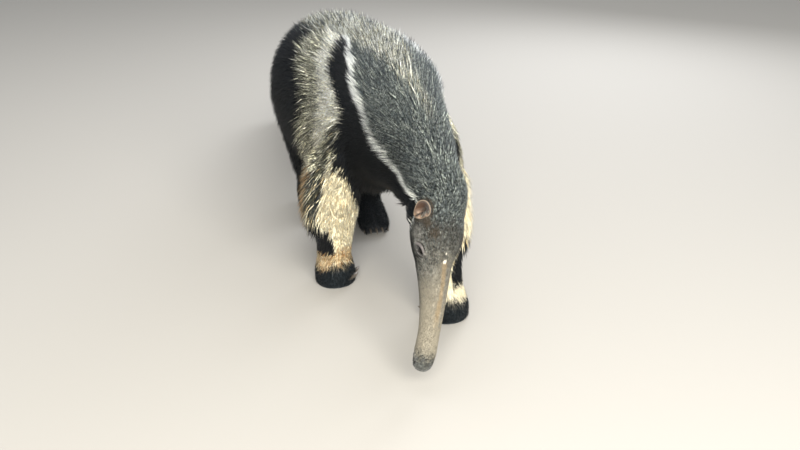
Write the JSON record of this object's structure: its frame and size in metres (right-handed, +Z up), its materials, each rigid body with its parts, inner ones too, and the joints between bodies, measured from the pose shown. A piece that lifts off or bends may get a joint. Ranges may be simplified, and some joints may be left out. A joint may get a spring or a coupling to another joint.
{
  "type": "giant anteater",
  "caption": "Life-size giant anteater standing with its long head lowered to feed, with a coarse coat, a back crest, leg fringes and a long drooping tail.",
  "frame": {"origin": "centre of the bounding box in plan, at the level of the soles", "axes": "snout towards -Y, tail towards +Y, the animal's right side towards -X, +Z up"},
  "size_m": [0.3738, 1.9028, 0.603],
  "materials": {
    "face_fur": "short, close fur",
    "grey_fur": "coarse grizzled hair",
    "tail_hair": "long coarse hair",
    "cream_fur": "coarse cream hair",
    "black_fur": "coarse black hair",
    "ear_skin": "soft, thinly haired skin",
    "horn": "worn horn",
    "eye": "wet and dark"
  },
  "bodies": {
    "root": {"head": "face_fur", "eye_right": "eye", "ear_right": "ear_skin", "eye_left": "eye", "ear_left": "ear_skin", "neck": "grey_fur", "torso": "grey_fur", "tail_base": "tail_hair", "tail_end": "tail_hair", "foreleg_right": "cream_fur", "fore_claw_right_1": "horn", "fore_claw_right_2": "horn", "forepaw_right": "black_fur", "hindleg_right": "black_fur", "hind_claw_right_1": "horn", "hind_claw_right_2": "horn", "hind_claw_right_3": "horn", "hind_claw_right_4": "horn", "hind_claw_right_5": "horn", "hindfoot_right": "black_fur", "foreleg_left": "cream_fur", "fore_claw_left_1": "horn", "fore_claw_left_2": "horn", "forepaw_left": "black_fur", "hindleg_left": "black_fur", "hind_claw_left_1": "horn", "hind_claw_left_2": "horn", "hind_claw_left_3": "horn", "hind_claw_left_4": "horn", "hind_claw_left_5": "horn", "hindfoot_left": "black_fur"}
  },
  "joints": []
}
